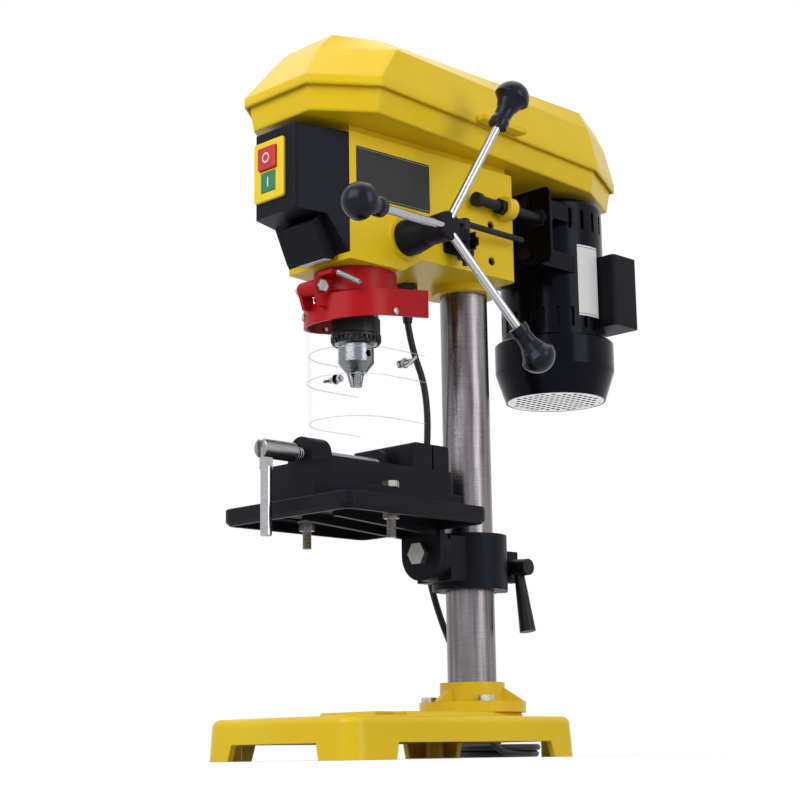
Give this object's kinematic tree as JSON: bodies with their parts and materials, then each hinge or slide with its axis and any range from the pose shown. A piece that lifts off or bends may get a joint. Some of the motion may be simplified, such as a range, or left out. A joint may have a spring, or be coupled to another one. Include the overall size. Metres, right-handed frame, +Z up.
{
  "type": "drill press",
  "caption": "Bench drill press: belt-driven spindle with rack-fed quill and keyed chuck, swing guard, tilting table with machine vise, on a round column and cast base.",
  "frame": {"origin": "middle of the base's footprint on the bench", "axes": "+Z up along the column, -Y towards the operator, +X towards the feed levers"},
  "size_m": [0.3119, 0.4847, 0.65],
  "materials": {
    "yellow_casting": "gloss yellow enamel over cast iron",
    "black_casting": "black paint over cast iron",
    "black_paint": "smooth black enamel",
    "black_steel": "blackened steel",
    "bolt_steel": "zinc plated steel",
    "column_steel": "ground steel tube",
    "yellow_paint": "gloss yellow enamel",
    "black_plastic": "moulded black plastic",
    "gloss_black_plastic": "gloss black moulding",
    "yellow_plastic": "yellow moulded plastic",
    "pale_plastic": "pale grey moulded plastic",
    "red_plastic": "gloss red plastic",
    "green_plastic": "gloss green plastic",
    "clear_plastic": "clear polycarbonate",
    "chrome_plate": "bright chrome",
    "steel": "machined steel",
    "rubber": "black rubber",
    "aluminium": "die-cast aluminium",
    "spring_steel": "blued spring steel"
  },
  "bodies": {
    "frame": {"base": "yellow_casting", "column_foot": "yellow_casting", "foot_bolts": "bolt_steel", "column": "column_steel", "head_casting": "yellow_casting", "head_screws": "black_steel", "belt_case_tray": "yellow_paint", "switch_housing": "black_plastic", "switch_frame": "yellow_plastic", "work_light": "black_plastic", "key_holder": "black_plastic", "return_spring": "spring_steel", "return_spring_cap": "black_paint", "v_belt": "rubber", "guard_collar": "red_plastic", "guard_bolts": "bolt_steel", "guard_spring": "chrome_plate", "cord_gland": "black_plastic", "mains_cord": "rubber", "cord_coil": "rubber", "mains_plug": "rubber"},
    "lid": {"belt_case_lid": "yellow_paint"},
    "carriage": {"motor_plate": "black_paint", "slide_bars": "black_steel", "motor_body": "black_paint", "fan_cover": "black_paint", "fan_grille": "pale_plastic", "capacitor_box": "black_plastic", "motor_bolts": "black_steel"},
    "rotor": {"motor_shaft": "steel", "cooling_fan": "black_plastic", "motor_pulley": "aluminium"},
    "driven_pulley": {"spindle_pulley": "aluminium"},
    "quill": {"quill": "steel", "quill_bearings": "steel"},
    "spindle": {"spindle": "steel", "chuck_body": "steel"},
    "sleeve": {"chuck_sleeve": "steel"},
    "jaw_1": {"chuck_jaw_1": "steel"},
    "jaw_2": {"chuck_jaw_2": "steel"},
    "jaw_3": {"chuck_jaw_3": "steel"},
    "feed": {"pinion_shaft": "steel", "feed_hub": "black_casting", "feed_levers": "chrome_plate", "lever_knobs": "gloss_black_plastic"},
    "guard": {"guard_drum": "red_plastic", "guard_window": "clear_plastic", "guard_screws": "bolt_steel"},
    "shield": {"guard_shield": "clear_plastic"},
    "bracket": {"table_bracket": "black_casting"},
    "clamp": {"clamp_lever": "black_paint"},
    "table": {"table": "black_casting", "table_bolts": "bolt_steel", "vise_body": "black_casting"},
    "vise_jaw": {"vise_jaw": "black_casting"},
    "vise_screw": {"vise_screw": "steel"},
    "vise_handle": {"vise_handle": "chrome_plate"},
    "start_button": {"start_button": "green_plastic"},
    "stop_button": {"stop_button": "red_plastic"},
    "chuck_key": {"chuck_key": "black_steel"}
  },
  "joints": [
    {"name": "lid_hinge", "type": "hinge", "parent": "frame", "child": "lid", "pos_m": [-0.07924, 0.07625, 0.592], "axis": [-0.0509, -0.9987, 0], "range_deg": [0, 100]},
    {"name": "motor_slide", "type": "slide", "parent": "frame", "child": "carriage", "axis": [0, -1, 0], "range_m": [0, 0.008]},
    {"name": "motor_spin", "type": "hinge", "parent": "carriage", "child": "rotor", "pos_m": [0, 0.239, 0.5], "axis": [0, 0, 1], "continuous": true},
    {"name": "pulley_spin", "type": "hinge", "parent": "frame", "child": "driven_pulley", "pos_m": [0, -0.043, 0.6], "axis": [0, 0, 1], "continuous": true},
    {"name": "quill_feed", "type": "slide", "parent": "frame", "child": "quill", "axis": [0, 0, -1], "range_m": [0, 0.0505]},
    {"name": "spindle_spin", "type": "hinge", "parent": "quill", "child": "spindle", "pos_m": [0, -0.043, 0.45], "axis": [0, 0, 1], "continuous": true},
    {"name": "chuck_sleeve_turn", "type": "hinge", "parent": "spindle", "child": "sleeve", "pos_m": [0, -0.043, 0.384], "axis": [0, 0, 1], "range_deg": [0, 1080]},
    {"name": "jaw_1_slide", "type": "slide", "parent": "spindle", "child": "jaw_1", "axis": [0, 0.2588, 0.9659], "range_m": [0, 0.017]},
    {"name": "jaw_2_slide", "type": "slide", "parent": "spindle", "child": "jaw_2", "axis": [-0.2241, -0.1294, 0.9659], "range_m": [0, 0.017]},
    {"name": "jaw_3_slide", "type": "slide", "parent": "spindle", "child": "jaw_3", "axis": [0.2241, -0.1294, 0.9659], "range_m": [0, 0.017]},
    {"name": "feed_turn", "type": "hinge", "parent": "frame", "child": "feed", "pos_m": [0, -0.0215, 0.468], "axis": [1, 0, 0], "range_deg": [0, 382], "stiffness_Nm_per_rad": 0.06, "springref_deg": -372.42},
    {"name": "guard_swing", "type": "hinge", "parent": "frame", "child": "guard", "pos_m": [0, -0.097, 0.416], "axis": [-1, 0, 0], "range_deg": [0, 90]},
    {"name": "shield_slide", "type": "slide", "parent": "guard", "child": "shield", "axis": [0, 0, 1], "range_m": [0, 0.031]},
    {"name": "table_lift", "type": "slide", "parent": "frame", "child": "bracket", "axis": [0, 0, 1], "range_m": [-0.05, 0]},
    {"name": "clamp_turn", "type": "hinge", "parent": "bracket", "child": "clamp", "pos_m": [0, 0.147, 0.178], "axis": [1, 0, 0], "range_deg": [0, 100]},
    {"name": "table_tilt", "type": "hinge", "parent": "bracket", "child": "table", "pos_m": [0, 0.044, 0.186], "axis": [0, 1, 0], "range_deg": [-45, 45]},
    {"name": "vise_jaw_slide", "type": "slide", "parent": "table", "child": "vise_jaw", "axis": [0, -1, 0], "range_m": [0, 0.05]},
    {"name": "vise_screw_turn", "type": "hinge", "parent": "vise_jaw", "child": "vise_screw", "pos_m": [0, -0.1, 0.264], "axis": [0, 1, 0], "range_deg": [0, 4490]},
    {"name": "handle_fold", "type": "hinge", "parent": "vise_screw", "child": "vise_handle", "pos_m": [0, -0.151, 0.264], "axis": [-1, 0, 0], "range_deg": [0, 80]},
    {"name": "start_press", "type": "slide", "parent": "frame", "child": "start_button", "axis": [0, 1, 0], "range_m": [0, 0.003], "stiffness_N_per_m": 400, "springref_m": -0.002},
    {"name": "stop_press", "type": "slide", "parent": "frame", "child": "stop_button", "axis": [0, 1, 0], "range_m": [0, 0.003], "stiffness_N_per_m": 400, "springref_m": -0.002},
    {"name": "key_pull", "type": "slide", "parent": "frame", "child": "chuck_key", "axis": [1, 0, 0], "range_m": [0, 0.02]}
  ],
  "couplings": [
    {"joint": "pulley_spin", "follows": "motor_spin", "ratio": 1},
    {"joint": "spindle_spin", "follows": "motor_spin", "ratio": 1},
    {"joint": "quill_feed", "follows": "feed_turn", "m_per_rad": 0.0075},
    {"joint": "jaw_1_slide", "follows": "chuck_sleeve_turn", "m_per_rad": 0.00090098},
    {"joint": "jaw_2_slide", "follows": "chuck_sleeve_turn", "m_per_rad": 0.00090098},
    {"joint": "jaw_3_slide", "follows": "chuck_sleeve_turn", "m_per_rad": 0.00090098},
    {"joint": "vise_jaw_slide", "follows": "vise_screw_turn", "m_per_rad": 0.00063662}
  ]
}
